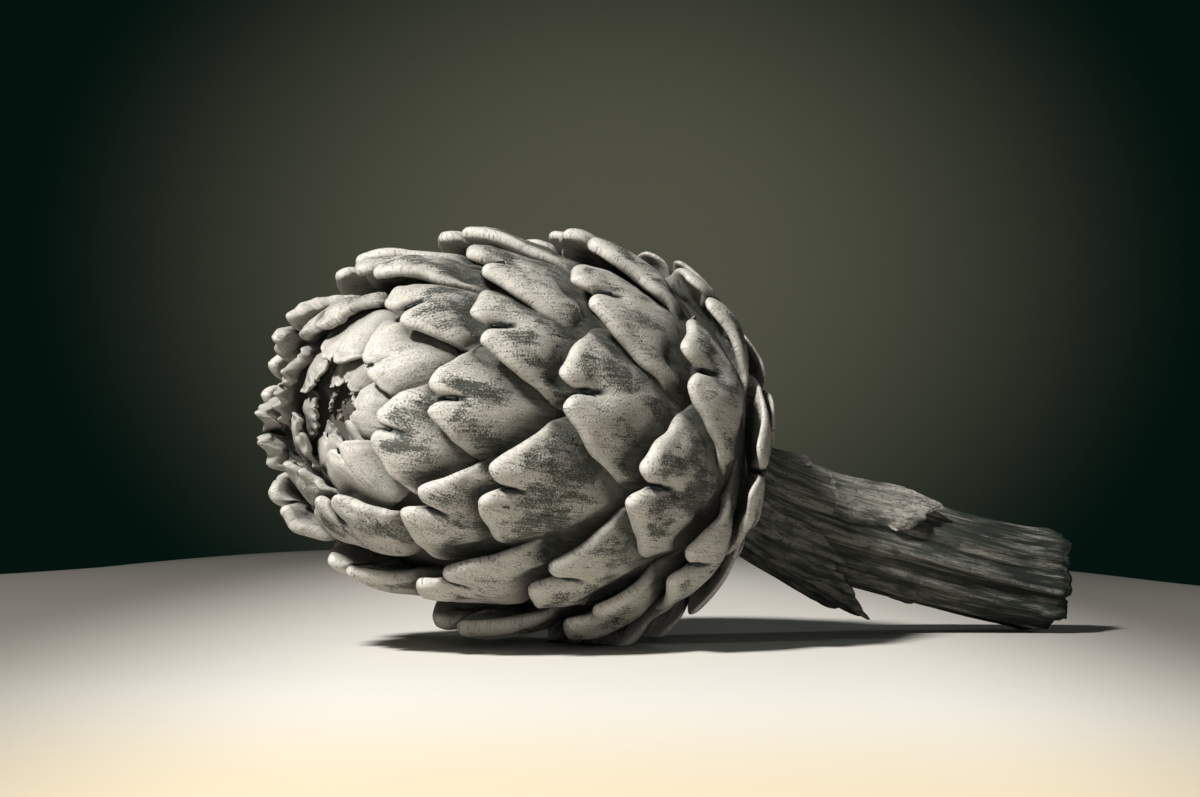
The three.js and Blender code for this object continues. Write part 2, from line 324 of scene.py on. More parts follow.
def bract_size(index):
    pace = reach_from_tip(index - 0.5) - reach_from_tip(index + 0.5)
    radius = max(float(on_outline(reach_from_tip(index))[1]), 1.5)
    room = math.sqrt(2 * math.pi * radius * pace)
    taper = 1 - basal_narrowing * max(0, -8 - index)
    taper = taper * (1 + basal_overlap * share_past(-index, basal_overlap_span))
    return min(max(room / full_size_spacing * taper, 0.16), 1.1)


def bract_edge(angle, bluntness):
    """Distance from a bract's middle to its edge: two rounded lobes with a notch between them."""
    forward = np.cos(angle)
    across = np.abs(np.sin(angle))
    half_width = shoulder_width * (1 + inner_widening * bluntness)
    point = bract_point + inner_bluntness * bluntness
    reach = bract_reach + widest_behind
    low = np.zeros(np.shape(angle))
    high = np.full(np.shape(angle), 40.0)
    for _ in range(22):
        middle = (low + high) / 2
        ahead_share = (middle * forward + widest_behind) / reach
        back_share = -(middle * forward + widest_behind) / (bract_back - widest_behind)
        share = np.where(ahead_share > 0, np.abs(ahead_share) ** point, np.abs(back_share) ** 3)
        power = np.where(ahead_share > 0, point, 3)
        outside = share + (middle * across / half_width) ** power > 1
        high = np.where(outside, middle, high)
        low = np.where(outside, low, middle)
    flank = low
    run = forward * lobe_forward + across * lobe_across
    chord = run**2 - lobe_forward**2 - lobe_across**2 + lobe_radius**2
    lobe = run + np.sqrt(np.maximum(chord, 0))
    beside_lobe = across * lobe_forward > forward * lobe_across
    lobe = np.where(beside_lobe, lobe_forward + lobe_radius + 0.6, lobe)
    tip = -lobe_blend * np.log(np.exp(-flank / lobe_blend) + np.exp(-lobe / lobe_blend))
    notch = np.exp(-np.abs(angle) / notch_half_angle)
    pointed = np.where(np.abs(angle) < lobe_limit, tip - notch_cut * notch, flank)
    blunt = flank - 3.2 * notch
    return pointed + (blunt - pointed) * bluntness


tip_angles = np.radians(
    np.concatenate(
        [
            np.arange(0, 14, 0.7),
            np.arange(14, 32, 1.6),
            np.arange(32, 112, 3.2),
            np.arange(112, 180, 9),
        ]
    )
)
edge_angles = np.concatenate([-tip_angles[:0:-1], tip_angles, [math.pi]])
face_shares = np.array(
    [
        1, 0.994, 0.984, 0.97, 0.95, 0.925, 0.895, 0.86, 0.82,
        0.77, 0.71, 0.64, 0.56, 0.47, 0.37, 0.26, 0.14,
    ]
)
under_shares = np.array([0.994, 0.98, 0.95, 0.85, 0.6, 0.3])

bluntness_steps = 20
edge_table_angles = np.linspace(-math.pi, math.pi, 721)
edge_tables = [
    bract_edge(edge_table_angles, step / bluntness_steps) for step in range(bluntness_steps + 1)
]


def place_bract(index, draw):
    """Where a bract sits on the bud: its even place in the spiral, with a small drift of its own."""
    size = bract_size(index)
    drift = (next(draw) - 0.5) * azimuth_spread
    tilt = math.radians((next(draw) - 0.5) * tilt_spread)
    lift = (next(draw) - 0.5) * lift_spread
    turned, advanced = stray_bracts.get(index, (drift, 0))
    azimuth = math.radians(first_azimuth - index * divergence + turned)
    middle = reach_from_tip(index) - advanced + (bract_reach - notch_depth) * size
    return {
        "index": index,
        "size": size,
        "tilt": tilt,
        "lift": lift,
        "azimuth": azimuth,
        "middle": middle,
        "inner": share_past(index, inner_span),
        "broad": 1 + basal_broadening * share_past(-index, basal_broadening_span),
    }


def radius_across(radius, normal_radius):
    """Radius of the bud's curve across a bract, kept between that of a small and a large bud."""
    return np.clip(radius / np.maximum(normal_radius, 0.05), least_cross_radius, most_cross_radius)


def gap_to_edge(points, bract):
    """How far points lie outside another bract's edge, in millimetres; less than nothing if covered."""
    offset = points - bud_base
    along = offset @ bud_axis
    upward = offset @ bud_top
    sideward = offset @ bud_side
    in_plane = upward * math.cos(bract["azimuth"]) + sideward * math.sin(bract["azimuth"])
    beside = sideward * math.cos(bract["azimuth"]) - upward * math.sin(bract["azimuth"])
    gap = np.full(len(points), no_neighbour)
    near_along, near_radius = on_outline(bract["middle"])
    near_reach = neighbour_reach * bract["size"] + neighbour_margin
    near = np.hypot(along - near_along, in_plane - near_radius) < near_reach
    near &= np.abs(beside) < neighbour_width * bract["size"] + neighbour_margin
    if not near.any():
        return gap
    first_probe = max(0, bract["middle"] - neighbour_reach)
    last_probe = min(outline_length, bract["middle"] + neighbour_reach)
    probe = np.linspace(first_probe, last_probe, probe_count)
    probe_along, probe_radius = on_outline(probe)
    distance = (along[near, None] - probe_along) ** 2 + (in_plane[near, None] - probe_radius) ** 2
    reach = probe[distance.argmin(1)]
    normal_along, normal_radius = outline_normal(reach)
    at_along, at_radius = on_outline(reach)
    slide = (along[near] - at_along) * -normal_radius + (in_plane[near] - at_radius) * normal_along
    reach = reach + slide
    cross_radius = radius_across(at_radius, normal_radius)
    side_part = np.arcsin(np.clip(beside[near] / cross_radius, -1, 1)) * cross_radius
    side_part = side_part / bract["size"] / bract["broad"]
    ahead_part = (bract["middle"] - reach) / bract["size"]
    forward = ahead_part * math.cos(bract["tilt"]) + side_part * math.sin(bract["tilt"])
    across = side_part * math.cos(bract["tilt"]) - ahead_part * math.sin(bract["tilt"])
    table = edge_tables[round(bract["inner"] * bluntness_steps)]
    edge = np.interp(np.arctan2(across, forward), edge_table_angles, table)
    gap[near] = (np.hypot(forward, across) - edge) * bract["size"]
    return gap


def grow_bract(bract, covering):
    """Points, faces and the material's values of one bract, a closed blade under its neighbours."""
    index = bract["index"]
    size = bract["size"]
    tilt = bract["tilt"]
    azimuth = bract["azimuth"]
    inner = bract["inner"]
    own = np.random.default_rng(bract_seed + index)
    thickness = size**0.7 * (1 - basal_relief * share_past(-index, basal_relief_span))
    wave = own.uniform(-1, 1, 8)
    far_side = 0.5 - 0.5 * math.sin(azimuth)
    dried = share_past(index, drying_span) * (0.1 + 0.9 * far_side**1.5)
    thickness = thickness * (1 + dried_thickening * dried)
    edge = bract_edge(edge_angles, inner)
    ruffle = sum(wave[k] * np.sin((5 + 3 * k) * edge_angles + 9 * wave[k]) for k in range(3))
    frill = sum(wave[3 + k] * np.sin((8 + 3 * k) * edge_angles + 7 * wave[k]) for k in range(3))
    frill = (0.15 + 0.7 * dried) * frill * np.exp(-np.abs(edge_angles) * 0.9)
    edge = edge + ruffle_height * ruffle + frill
    rim = np.stack([edge * np.cos(edge_angles), edge * np.sin(edge_angles)], 1)
    closed = np.vstack([rim, rim[:1]])
    strides = closed[1:] - closed[:-1]
    dense = np.concatenate([closed[:-1] + strides * t for t in (0, 0.25, 0.5, 0.75)])

    shares = np.concatenate([face_shares, under_shares])
    spine_turn = np.tile(np.linspace(0, 2 * math.pi, spine_sides, endpoint=False), spine_rings)
    spine_share = np.repeat(np.linspace(0, 1, spine_rings), spine_sides)
    spine_girth = spine_radius * (1 - spine_share) ** 0.6 + 0.02
    notch_bottom = edge[len(edge_angles) // 2]
    spine_forward = notch_bottom - 1 + spine_length * spine_share
    spine_across = spine_girth * np.cos(spine_turn) + 0.5 * wave[7] * spine_share
    forward = np.concatenate([np.outer(shares, rim[:, 0]).ravel(), [0, 0], spine_forward])
    across = np.concatenate([np.outer(shares, rim[:, 1]).ravel(), [0, 0], spine_across])
    count = len(edge_angles)
    face_count = count * len(face_shares)
    under = np.zeros(len(forward), bool)
    blade = len(shares) * count + 2
    under[face_count : blade - 2] = True
    under[blade - 1] = True
    inside = np.empty(len(forward))
    for part in np.array_split(np.arange(len(forward)), 6):
        off_forward = forward[part, None] - dense[None, :, 0]
        off_across = across[part, None] - dense[None, :, 1]
        inside[part] = np.hypot(off_forward, off_across).min(1)
    inside[:count] = 0

    behind_tip = bract_reach - forward
    fallen = np.maximum(0, behind_tip - bract_crown_reach)
    near = np.minimum(fallen, hollow_length)
    flank = smooth_step(np.abs(across), 8, 22)
    hollow = bract_hollow * near**2 + root_slope * (fallen - near)
    body = bract_crown - hollow * (1 + 0.4 * dried - 0.2 * flank)
    body = body - bract_edge_fall * np.minimum(np.abs(across) / bract_half_width, 1) ** 2
    lobes = smooth_step(forward, 0, 14)
    plump = (0.7 + 0.9 * lobes) * smooth_step(inside, 0, 7) - 0.8
    lip = (lip_height + dried_lip_height * dried) * np.exp(-(((inside - lip_inset) / lip_width) ** 2))
    lip = lip * lobes
    crease_width = 1.0 + 0.12 * np.maximum(behind_tip - 6, 0)
    crease_run = smooth_step(behind_tip, 5, 9) * (1 - smooth_step(behind_tip, 9, 22))
    bow = across - 0.08 * wave[1] * (bract_reach - notch_depth - forward)
    crease = (crease_depth + 0.5 * wave[0]) * np.exp(-((np.abs(bow) / crease_width) ** 1.2))
    crease = crease * crease_run
    crease = crease * (1 - 0.75 * inner)
    swell = swell_height * np.sin(forward * 0.21 + 5 * wave[2]) * np.cos(across * 0.24 + 4 * wave[3])
    buckle = np.sin(across * 0.62 + forward * 0.25 + 6 * wave[4])
    buckle = buckle + 0.35 * np.sin(across * 1.1 - forward * 0.5 + 6 * wave[6])
    buckle = buckle_height * dried * np.exp(-inside / 5) * smooth_step(forward, -4, 14) * buckle
    curl = 0.6 + 0.8 * inner + 2.6 * dried + 0.5 * wave[5]
    curl = curl * (1 - smooth_step(behind_tip, 0, 10)) ** 2
    sheet = body + plump + lip - crease + swell + buckle + curl
    edge_depth = edge_thickness + lobe_thickness * lobes * (1 + 0.9 * dried)
    half = edge_depth / 2
    round_off = half - np.sqrt(np.maximum(half**2 - (half - np.minimum(inside, half)) ** 2, 0))
    depth = edge_depth + thickening * np.maximum(behind_tip, 0)
    top = sheet - round_off
    bottom = sheet - depth + round_off + (depth - edge_depth) * (1 - smooth_step(inside, 0, 3))
    height = np.where(under, bottom, top)
    spine_height = top[count // 2] + spine_lift + spine_girth * np.sin(spine_turn)
    height[blade:] = spine_height + 0.6 * spine_share

    ahead_part = forward * math.cos(tilt) - across * math.sin(tilt)
    side_part = (forward * math.sin(tilt) + across * math.cos(tilt)) * bract["broad"]
    reach = np.clip(bract["middle"] - ahead_part * size, 0.2, outline_length - 1)
    along, radius = on_outline(reach)
    normal_along, normal_radius = outline_normal(reach)
    cross_radius = radius_across(radius, normal_radius)
    bend = side_part * size / cross_radius
    turn = np.full(len(reach), azimuth)
    sideways = -math.sin(azimuth) * bud_top + math.cos(azimuth) * bud_side
    sunk = crown_sinking * share_past(index, sinking_span)

    def lay_out(height):
        raised = height * thickness + bract["lift"] - sunk
        outward = (cross_radius + raised) * np.cos(bend) - cross_radius
        points = on_bud(along + outward * normal_along, radius + outward * normal_radius, turn)
        return points + ((cross_radius + raised) * np.sin(bend))[:, None] * sideways

    points = lay_out(height)
    gap = np.full(len(points), no_neighbour)
    for other in covering:
        gap = np.minimum(gap, gap_to_edge(points, other))
    # Dried bracts are darker in their own colour; basal bracts are darkened as painted shade.
    dry_tone_and_basal_shade = max(dried, share_past(-index, basal_shade_span))
    # Painted shade: leaf_shade darkens the colour near the edges of the bracts that cover this one.
    closeness = np.maximum(np.exp(-np.maximum(gap, 0) / shade_reach), dry_tone_and_basal_shade_strength * dry_tone_and_basal_shade)
    groove = groove_depth * np.exp(-np.maximum(gap, 0) / groove_reach)
    points = settled(lay_out(height - groove / thickness))

    face_rings = len(face_shares)
    faces = ring_faces(face_rings, count)
    centre = blade - 2
    last = (face_rings - 1) * count
    faces += [(last + i, last + (i + 1) % count, centre) for i in range(count)]
    first_under = face_rings * count
    for i in range(count):
        j = (i + 1) % count
        faces.append((i, first_under + i, first_under + j, j))
    faces += [tuple(reversed(f)) for f in ring_faces(len(under_shares), count, first_under)]
    last = first_under + (len(under_shares) - 1) * count
    faces += [(last + (i + 1) % count, last + i, centre + 1) for i in range(count)]
    faces += [tuple(reversed(f)) for f in ring_faces(spine_rings, spine_sides, blade)]
    faces.append(tuple(range(blade, blade + spine_sides)))
    faces.append(tuple(reversed(range(len(forward) - spine_sides, len(forward)))))
    place = np.stack([forward * size, across * size, np.full(len(forward), 11.0 * index)], 1)
    form = np.stack([inside * size, forward / bract_reach, np.full(len(forward), inner)], 1)
    form[blade:, 1] = 2
    return points, faces, place, form, closeness


def add_node(tree, kind, inputs=None, **settings):
    """Adds a shader node; each input is a number or colour to set, or a socket to link."""
    node = tree.nodes.new(kind)
    for name, value in settings.items():
        setattr(node, name, value)
    for key, value in (inputs or {}).items():
        if isinstance(value, bpy.types.NodeSocket):
            tree.links.new(value, node.inputs[key])
        else:
            node.inputs[key].default_value = value
    return node


def calculate(tree, operation, *values, clamp=False):
    inputs = dict(enumerate(values))
    return add_node(tree, "ShaderNodeMath", inputs, operation=operation, use_clamp=clamp).outputs[0]


def fade(tree, value, low, high, at_low=0.0, at_high=1.0):
    """A smooth change from one number to another as a value goes from low to high."""
    inputs = {"Value": value, "From Min": low, "From Max": high, "To Min": at_low, "To Max": at_high}
    return add_node(tree, "ShaderNodeMapRange", inputs, interpolation_type="SMOOTHSTEP").outputs[0]


def blend_colour(tree, share, first, second, kind="MIX"):
    node = add_node(tree, "ShaderNodeMix", data_type="RGBA", blend_type=kind)
    for key, value in ((0, share), (6, first), (7, second)):
        if isinstance(value, bpy.types.NodeSocket):
            tree.links.new(value, node.inputs[key])
        else:
            node.inputs[key].default_value = value
    return node.outputs[2]


def new_group(name, inputs, outputs):
    """An empty shader node group with its sockets, and its input and output nodes."""
    group = bpy.data.node_groups.new(name, "ShaderNodeTree")
    for label, kind, value in inputs:
        socket = group.interface.new_socket(label, in_out="INPUT", socket_type=kind)
        if value is not None:
            socket.default_value = value
    for label, kind in outputs:
        group.interface.new_socket(label, in_out="OUTPUT", socket_type=kind)
    return group, group.nodes.new("NodeGroupInput"), group.nodes.new("NodeGroupOutput")


def use_group(tree, group, inputs):
    return add_node(tree, "ShaderNodeGroup", inputs, node_tree=group)


def make_fibre_grain():
    """Streaks that run along a leaf or stem, of a length and width in millimetres."""
    group, given, result = new_group(
        "fibre grain",
        [
            ("Place", "NodeSocketVector", None),
            ("Length", "NodeSocketFloat", 12.0),
            ("Width", "NodeSocketFloat", 1.0),
            ("Detail", "NodeSocketFloat", 3.0),
        ],
        [("Value", "NodeSocketFloat")],
    )
    along = calculate(group, "DIVIDE", 1.0, given.outputs["Length"])
    over = calculate(group, "DIVIDE", 1.0, given.outputs["Width"])
    stretch = add_node(group, "ShaderNodeCombineXYZ", {0: along, 1: over, 2: over}).outputs[0]
    inputs = {0: given.outputs["Place"], 1: stretch}
    place = add_node(group, "ShaderNodeVectorMath", inputs, operation="MULTIPLY").outputs[0]
    inputs = {"Vector": place, "Scale": 1.0, "Detail": given.outputs["Detail"], "Roughness": 0.6}
    inputs["Distortion"] = 0.25
    noise = add_node(group, "ShaderNodeTexNoise", inputs).outputs[0]
    group.links.new(noise, result.inputs["Value"])
    return group


def make_skin_speckle():
    """Fine grain the same in every direction, of a size in millimetres."""
    group, given, result = new_group(
        "skin speckle",
        [("Place", "NodeSocketVector", None), ("Size", "NodeSocketFloat", 0.5)],
        [("Value", "NodeSocketFloat")],
    )
    scale = calculate(group, "DIVIDE", 1.0, given.outputs["Size"])
    inputs = {"Vector": given.outputs["Place"], "Scale": scale, "Detail": 2.5, "Roughness": 0.7}
    noise = add_node(group, "ShaderNodeTexNoise", inputs).outputs[0]
    group.links.new(noise, result.inputs["Value"])
    return group


fibre_grain = make_fibre_grain()
skin_speckle = make_skin_speckle()


def grain(tree, place, length, width, detail=3.0):
    inputs = {"Place": place, "Length": length, "Width": width, "Detail": detail}
    return use_group(tree, fibre_grain, inputs).outputs["Value"]


def speckle(tree, place, size):
    return use_group(tree, skin_speckle, {"Place": place, "Size": size}).outputs["Value"]


def make_bract_skin():
    """Waxy skin of a bract: pale rubbed lip, fine streaks, charcoal blotches from frost, and painted
    shade under neighbours and in the crease.
    """
    pale = (0.45, 0.42, 0.37, 1)
    plain = (0.5, 0.47, 0.415, 1)
    shaded = (0.36, 0.335, 0.285, 1)
    covered = (0.05, 0.052, 0.042, 1)
    frosted = (0.028, 0.032, 0.024, 1)
    slit_and_crease_shade = (0.006, 0.01, 0.008, 1)
    material = plain_material("bract skin", plain[:3], 0.5)
    tree = material.node_tree
    shader = tree.nodes["Principled BSDF"]
    shader.inputs["Specular IOR Level"].default_value = 0.3
    place = add_node(tree, "ShaderNodeAttribute", attribute_name="leaf_place").outputs["Vector"]
    form = add_node(tree, "ShaderNodeAttribute", attribute_name="leaf_form").outputs["Vector"]
    form = add_node(tree, "ShaderNodeSeparateXYZ", {0: form})
    inside, forward, inner = form.outputs
    streaks = grain(tree, place, 16.0, 1.3)
    hairlines = grain(tree, place, 8.0, 0.3, 2.0)
    dapple = grain(tree, place, 3.4, 2.2)
    clouds = grain(tree, place, 10.0, 6.0)
    broad = grain(tree, place, 26.0, 16.0, 1.0)
    fine = speckle(tree, place, 0.5)
    outer = calculate(tree, "SUBTRACT", 1.0, inner)
    across = calculate(tree, "ABSOLUTE", add_node(tree, "ShaderNodeSeparateXYZ", {0: place}).outputs[1])

    colour = blend_colour(tree, fade(tree, dapple, 0.34, 0.6), shaded, plain)
    colour = blend_colour(tree, fade(tree, streaks, 0.4, 0.75, 0.0, 0.5), colour, pale)
    colour = blend_colour(tree, fade(tree, inner, 0.0, 1.0, 0.0, 0.75), colour, pale)
    line_depth = fade(tree, hairlines, 0.46, 0.3, 0.0, 0.35)
    colour = blend_colour(tree, line_depth, colour, shaded)
    lip = calculate(tree, "MULTIPLY", fade(tree, inside, 3.4, 0.6), fade(tree, forward, -0.1, 0.4))
    lip = calculate(tree, "MULTIPLY", lip, fade(tree, streaks, 0.25, 0.5, 0.4, 0.9))
    colour = blend_colour(tree, lip, colour, pale)
    # Painted shade: leaf_shade blends the colour to near-black near covering bracts and on basal bracts;
    # dried bracts darken in their own colour.
    shade = add_node(tree, "ShaderNodeAttribute", attribute_name="leaf_shade").outputs["Fac"]
    shade = calculate(tree, "MULTIPLY", shade, fade(tree, streaks, 0.3, 0.7, 0.95, 0.75))
    colour = blend_colour(tree, shade, colour, covered)

    band = calculate(tree, "MULTIPLY", fade(tree, forward, -0.9, -0.2), fade(tree, forward, 0.92, 0.5))
    band = calculate(tree, "MULTIPLY", band, fade(tree, inside, 0.5, 4.0))
    band = calculate(tree, "MULTIPLY", band, fade(tree, outer, 0.0, 0.6, 0.25, 1.0))
    frost = calculate(tree, "MULTIPLY_ADD", clouds, 0.9, calculate(tree, "MULTIPLY", broad, 0.5))
    frost = calculate(tree, "MULTIPLY_ADD", streaks, 0.3, frost)
    frost = calculate(tree, "MULTIPLY_ADD", band, 0.13, frost)
    blotch = calculate(tree, "MULTIPLY", fade(tree, frost, 0.86, 1.16), fade(tree, band, 0.0, 0.5))
    grit = calculate(tree, "MULTIPLY_ADD", fine, 0.9, calculate(tree, "MULTIPLY", hairlines, 0.35))
    grit = calculate(tree, "MULTIPLY_ADD", dapple, 0.35, grit)
    grit = calculate(tree, "MULTIPLY_ADD", blotch, 0.24, grit)
    dark = fade(tree, grit, 0.76, 1.05, 0.0, 0.96)
    dark = calculate(tree, "MULTIPLY", dark, fade(tree, outer, 0.0, 0.8, 0.45, 1.0))
    dark = calculate(tree, "MULTIPLY", dark, fade(tree, lip, 0.2, 0.9, 1.0, 0.75))
    colour = blend_colour(tree, dark, colour, frosted)
    unshaded = fade(tree, shade, 0.1, 0.4, 0.6, 0.0)
    flecks = calculate(tree, "MULTIPLY", fade(tree, grit, 0.68, 0.56), unshaded)
    colour = blend_colour(tree, flecks, colour, pale)
    # Painted shade: a near-black line along the crease behind the notch.
    crease_shade = calculate(tree, "MULTIPLY", fade(tree, across, 1.1, 0.3), fade(tree, forward, 0.3, 0.42))
    crease_shade = calculate(tree, "MULTIPLY", crease_shade, fade(tree, outer, 0.2, 0.8))
    colour = blend_colour(tree, crease_shade, colour, slit_and_crease_shade)

    slits = fade(tree, grain(tree, place, 6.0, 0.7, 1.0), 0.69, 0.74)
    slits = calculate(tree, "MULTIPLY", slits, band)
    slits = calculate(tree, "MULTIPLY", slits, fade(tree, broad, 0.48, 0.55))
    colour = blend_colour(tree, slits, colour, slit_and_crease_shade)
    colour = blend_colour(tree, fade(tree, forward, 1.4, 1.6), colour, slit_and_crease_shade)
    tree.links.new(colour, shader.inputs["Base Color"])

    tree.links.new(fade(tree, blotch, 0.0, 1.0, 0.46, 0.68), shader.inputs["Roughness"])
    height = calculate(tree, "MULTIPLY_ADD", hairlines, 0.45, streaks)
    height = calculate(tree, "MULTIPLY_ADD", dark, -0.6, height)
    height = calculate(tree, "MULTIPLY_ADD", slits, -2.0, height)
    bump = add_node(tree, "ShaderNodeBump", {"Strength": 0.55, "Distance": 0.0004, "Height": height})
    tree.links.new(bump.outputs["Normal"], shader.inputs["Normal"])
    return material


def join_grown(grown):
    """Points and faces of several closed parts, as those of one piece."""
    faces = []
    offset = 0
    for points, part_faces, *_ in grown:
        faces += [tuple(v + offset for v in face) for face in part_faces]
        offset += len(points)
    return np.concatenate([part[0] for part in grown]), faces


bract_skin = make_bract_skin()
neighbours_in_front = 21
bract_groups = {
    "bracts_basal": range(last_basal_bract, -14),
    "bracts_outer": range(-14, 4),
    "bracts_middle": range(4, 22),
    "bracts_inner": range(22, last_inner_bract + 1),
}
draw = seeded_random(bract_seed)
bracts = [place_bract(index, draw) for index in range(last_basal_bract, last_inner_bract + 1)]
for name, indices in bract_groups.items():
    grown = []
    for index in indices:
        order = index - last_basal_bract
        covering = bracts[max(0, order - neighbours_in_front) : order]
        grown.append(grow_bract(bracts[order], covering))
    values = {
        "leaf_place": np.concatenate([part[2] for part in grown]),
        "leaf_form": np.concatenate([part[3] for part in grown]),
        "leaf_shade": np.concatenate([part[4] for part in grown]),
    }
    piece = mesh_piece(name, *join_grown(grown), values, bract_skin)
    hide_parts("head")


# Stem: a ribbed, fibrous stalk that was cut through with a knife and has begun to dry out.
# It grew as one body with the bud, bends down to the surface and runs nearly straight from there.
stem_radius = 12.6
neck_radius = 10
neck_length = 26
stem_ribs = 11
rib_height = 0.7
cut_spread = 0.8
cut_spread_length = 14
stem_entry = 4
rim_rounding = 1.1
rim_rounding_length = 9
rim_wear = 1.4
pith_depth = 1.6
pith_hollow = 3.2
ridge_waves = (7, 13, 17, 23, 29, 37, 47, 61)
ridge_heights = (0.34, 0.3, 0.26, 0.2, 0.16, 0.12, 0.09, 0.07)
ridge_count = 24
stem_seed = 407
stem_line_points = 400
stem_course = np.array(
    [(0, 0, -1.5), (7, 6, -5.5), (18.5, 12, -11.5), (53, 31, -22), (77, 42, -28), (97, 49, -31.6)]
)


def smooth_course(course, steps):
    """A centripetal Catmull-Rom curve through the course, at even distances."""
    padded = np.vstack([2 * course[0] - course[1], course, 2 * course[-1] - course[-2]])
    stretch = np.sqrt(np.linalg.norm(np.diff(padded, axis=0), axis=1))
    curve = []
    for k in range(len(course) - 1):
        a, b, c, d = padded[k : k + 4]
        before, here, after = stretch[k : k + 3]
        leave = here * ((b - a) / before - (c - a) / (before + here) + (c - b) / here)
        arrive = here * ((c - b) / here - (d - b) / (here + after) + (d - c) / after)
        t = np.linspace(0, 1, 80, endpoint=k == len(course) - 2)[:, None]
        cubic = (2 * b - 2 * c + leave + arrive) * t**3 + (3 * c - 3 * b - 2 * leave - arrive) * t**2
        curve.append(cubic + leave * t + b)
    curve = np.vstack(curve)
    run = np.concatenate([[0], np.cumsum(np.linalg.norm(np.diff(curve, axis=0), axis=1))])
    even = np.linspace(0, run[-1], steps)
    return np.stack([np.interp(even, run, curve[:, i]) for i in range(3)], 1), run[-1]


stem_line, stem_length = smooth_course(stem_course + bud_base, stem_line_points)
stem_heading = np.gradient(stem_line, axis=0)
stem_heading /= np.linalg.norm(stem_heading, axis=1)[:, None]


def stem_skin(distance, angle):
    neck = smooth_step(distance, 0, neck_length)
    cut = smooth_step(distance, stem_length - cut_spread_length, stem_length)
    ribs = rib_height * neck * np.cos(stem_ribs * angle)
    return neck_radius + (stem_radius - neck_radius) * neck + cut_spread * cut + ribs


def on_stem(distance, angle, radius):
    share = np.clip(distance / stem_length, 0, 1) * (len(stem_line) - 1)
    steps = np.arange(len(stem_line))
    centre = np.stack([np.interp(share, steps, stem_line[:, i]) for i in range(3)], 1)
    heading = np.stack([np.interp(share, steps, stem_heading[:, i]) for i in range(3)], 1)
    beyond = distance - np.clip(distance, 0, stem_length)
    side = np.cross(heading, (0, 0, 1))
    side /= np.linalg.norm(side, axis=1)[:, None]
    top = np.cross(side, heading)
    centre = centre + heading * beyond[:, None]
    around = top * (radius * np.cos(angle))[:, None] + side * (radius * np.sin(angle))[:, None]
    return centre + around


stem_draw = np.random.default_rng(stem_seed)
ridge_phase = stem_draw.uniform(0, 2 * math.pi, ridge_count)
ridge_twist = stem_draw.uniform(-0.02, 0.02, ridge_count)
ridge_size = stem_draw.uniform(0.3, 1, ridge_count)


def stem_relief(distance, angle):
    """Ridges of unequal height along the stem, with finer fibres between them."""
    relief = np.zeros(np.shape(distance))
    for k in range(ridge_count):
        waves = ridge_waves[k % len(ridge_waves)]
        height = ridge_heights[k % len(ridge_heights)] * ridge_size[k]
        swing = angle * waves + ridge_phase[k] + ridge_twist[k] * distance * waves / 6
        waning = 0.6 + 0.4 * np.sin(distance * (0.05 + 0.004 * k) + ridge_phase[-k - 1])
        relief = relief + height * waning * np.sin(swing)
    return relief * smooth_step(distance, -2, 16)


stem_sides = 240
stem_stations = 150
station = np.linspace(-stem_entry, stem_length, stem_stations)
around = np.linspace(0, 2 * math.pi, stem_sides, endpoint=False)
distance = np.repeat(station, stem_sides)
angle = np.tile(around, stem_stations)
ragged = 0.9 * np.sin(3 * angle + 1) + 0.5 * np.sin(8 * angle + 2) + 0.25 * np.sin(19 * angle)
near_cut = smooth_step(distance, stem_length - rim_rounding_length, stem_length)
radius = stem_skin(distance, angle) + stem_relief(distance, angle)
radius = radius - rim_rounding * near_cut**4
distance = distance + (ragged - rim_wear) * near_cut
stem_points = [on_stem(distance, angle, radius)]
stem_place = [np.stack([distance, radius * np.cos(angle), radius * np.sin(angle)], 1)]
cut_rings = 16
for ring in range(1, cut_rings + 1):
    share = 1 - ring / (cut_rings + 1)
    rim_radius = radius[-stem_sides:] * share
    pith = pith_depth * (1 - share) + 0.5 * np.sin(26 * share + 4 * np.sin(3 * around)) * share
    fibre = 0.35 * np.sin(37 * around + 9 * share) * share
    depth = distance[-stem_sides:] * share + (stem_length - pith_depth) * (1 - share) - pith + fibre
    stem_points.append(on_stem(depth, around, rim_radius))
    stem_place.append(np.stack([depth, rim_radius * np.cos(around), rim_radius * np.sin(around)], 1))
for end in (-stem_entry, stem_length - pith_hollow):
    stem_points.append(on_stem(np.array([float(end)]), np.zeros(1), np.zeros(1)))
    stem_place.append(np.array([[end, 0.0, 0.0]]))
stem_points = np.concatenate(stem_points)
stem_points[:, 2] = np.maximum(stem_points[:, 2], 0)
rings = stem_stations + cut_rings
stem_faces = ring_faces(rings, stem_sides)
buried = len(stem_points) - 2
pith_centre = len(stem_points) - 1
last = (rings - 1) * stem_sides
for i in range(stem_sides):
    j = (i + 1) % stem_sides
    stem_faces.append((j, i, buried))
    stem_faces.append((last + i, last + j, pith_centre))


